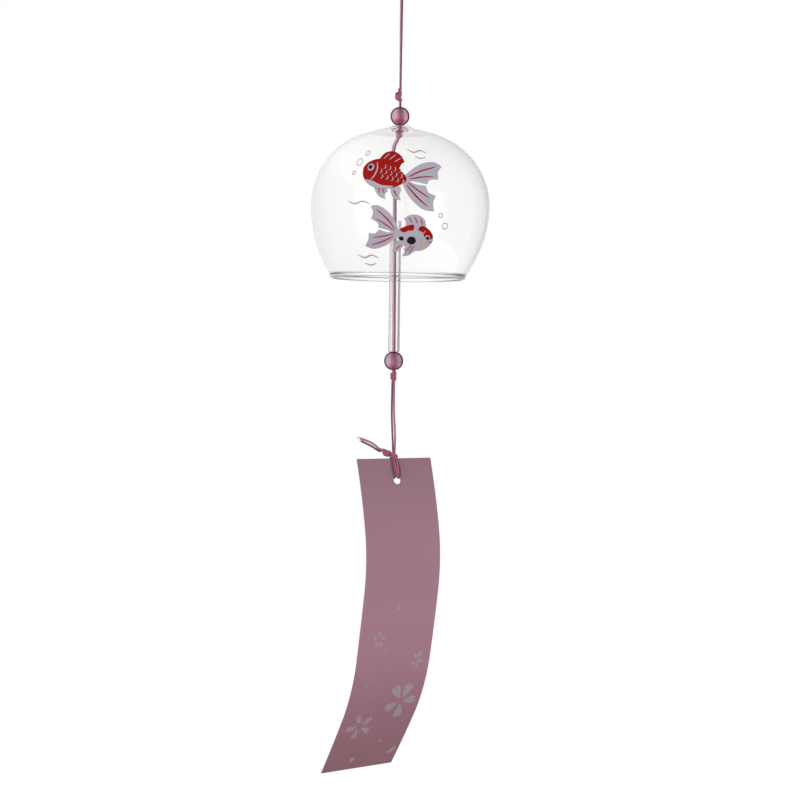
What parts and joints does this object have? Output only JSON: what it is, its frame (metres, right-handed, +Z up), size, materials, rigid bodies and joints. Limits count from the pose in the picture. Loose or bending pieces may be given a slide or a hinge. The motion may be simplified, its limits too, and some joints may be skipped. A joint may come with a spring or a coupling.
{
  "type": "glass wind bell",
  "caption": "Blown glass wind bell hung by a doubled cord, with a glass tube clapper, beads, knots and a long curled paper strip under it to catch the wind.",
  "frame": {"origin": "where the top of the hanging loop rests on its hook, inside the loop", "axes": "+Z up along the cord, +X to the viewer's right, -Y towards the viewer"},
  "size_m": [0.08, 0.08, 0.3656],
  "materials": {
    "clear_glass": "clear blown glass, gloss",
    "pink_glass": "translucent pink glass, gloss",
    "cord": "braided satin cord, soft sheen",
    "strip_paper": "printed mauve card, matt"
  },
  "bodies": {
    "hook_loop": {"hanging_loop": "cord", "loop_knot": "cord"},
    "main_cord": {"hanging_cord_left": "cord", "hanging_cord_right": "cord", "top_knot": "cord", "neck_cord_left": "cord", "neck_cord_right": "cord"},
    "upper_bead": {"top_bead": "pink_glass"},
    "bell": {"glass_bell": "clear_glass"},
    "stopper": {"stopper_knot": "cord"},
    "clapper_cord": {"inner_cord_left": "cord", "inner_cord_right": "cord", "lower_knot": "cord"},
    "tube": {"clapper_tube": "clear_glass"},
    "under_bead": {"lower_bead": "pink_glass"},
    "strip_cord": {"lower_cord_left": "cord", "lower_cord_right": "cord"},
    "strip": {"tie_knot": "cord", "cord_tail_upper": "cord", "cord_tail_lower": "cord", "strip_loop_1": "cord", "strip_loop_2": "cord", "strip_loop_3": "cord", "strip_loop_4": "cord", "paper_strip": "strip_paper"}
  },
  "joints": [
    {"name": "cord_swing", "type": "hinge", "parent": "hook_loop", "child": "main_cord", "pos_m": [0, 0, -0.01865], "axis": [0, 1, 0], "range_deg": [-30, 30]},
    {"name": "bead_slide", "type": "slide", "parent": "main_cord", "child": "upper_bead", "axis": [0, 0, 1], "range_m": [0, 0.002]},
    {"name": "bell_spin", "type": "hinge", "parent": "main_cord", "child": "bell", "pos_m": [0, 0, -0.076], "axis": [0, 0, 1], "continuous": true},
    {"name": "clapper_turn", "type": "hinge", "parent": "main_cord", "child": "stopper", "pos_m": [0, 0, -0.079], "axis": [0, 0, 1], "continuous": true},
    {"name": "clapper_swing", "type": "hinge", "parent": "stopper", "child": "clapper_cord", "pos_m": [-0.0003, 0, -0.08117], "axis": [0, 1, 0], "range_deg": [-21.5, 20.5]},
    {"name": "tube_slide", "type": "slide", "parent": "clapper_cord", "child": "tube", "axis": [0, 0, 1], "range_m": [0, 0.018]},
    {"name": "under_bead_spin", "type": "hinge", "parent": "clapper_cord", "child": "under_bead", "pos_m": [-0.0012, 0, -0.18017], "axis": [0, 0, 1], "continuous": true},
    {"name": "strip_swing", "type": "hinge", "parent": "clapper_cord", "child": "strip_cord", "pos_m": [-0.0012, 0, -0.18927], "axis": [0.8121, 0.5835, 0], "range_deg": [-30, 30]},
    {"name": "strip_turn", "type": "hinge", "parent": "strip_cord", "child": "strip", "pos_m": [-0.00053, -0.0024, -0.22002], "axis": [0, 0, 1], "continuous": true}
  ]
}
